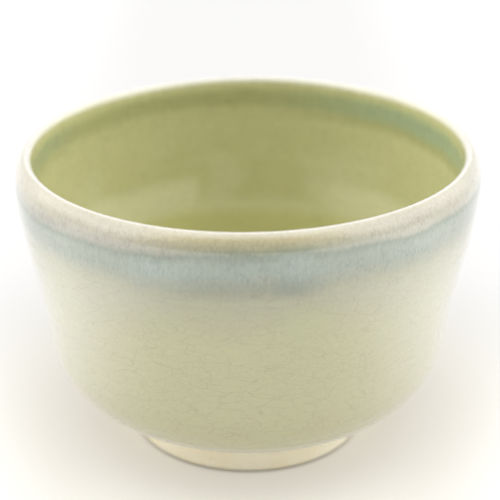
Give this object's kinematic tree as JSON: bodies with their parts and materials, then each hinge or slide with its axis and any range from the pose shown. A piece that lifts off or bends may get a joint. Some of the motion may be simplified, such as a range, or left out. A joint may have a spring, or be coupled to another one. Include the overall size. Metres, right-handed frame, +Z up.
{
  "type": "matcha bowl",
  "caption": "Round stoneware tea bowl with a rolled lip, a rounded hip and a bare turned foot, glazed inside and out, for whisking and drinking matcha.",
  "frame": {"origin": "on the bowl's axis, at the level of the surface the foot stands on", "axes": "+Z up along the turning axis, out of the bowl's mouth; +X and +Y are any two level directions, and the side seen in the reference view faces -Y"},
  "size_m": [0.1202, 0.1202, 0.0802],
  "materials": {
    "bare_clay": "matte",
    "outer_glaze": "gloss",
    "inner_glaze": "gloss",
    "rim_glaze": "gloss"
  },
  "bodies": {
    "root": {"clay_body": "bare_clay", "outer_glaze": "outer_glaze", "inner_glaze": "inner_glaze", "rim_glaze": "rim_glaze"}
  },
  "joints": []
}
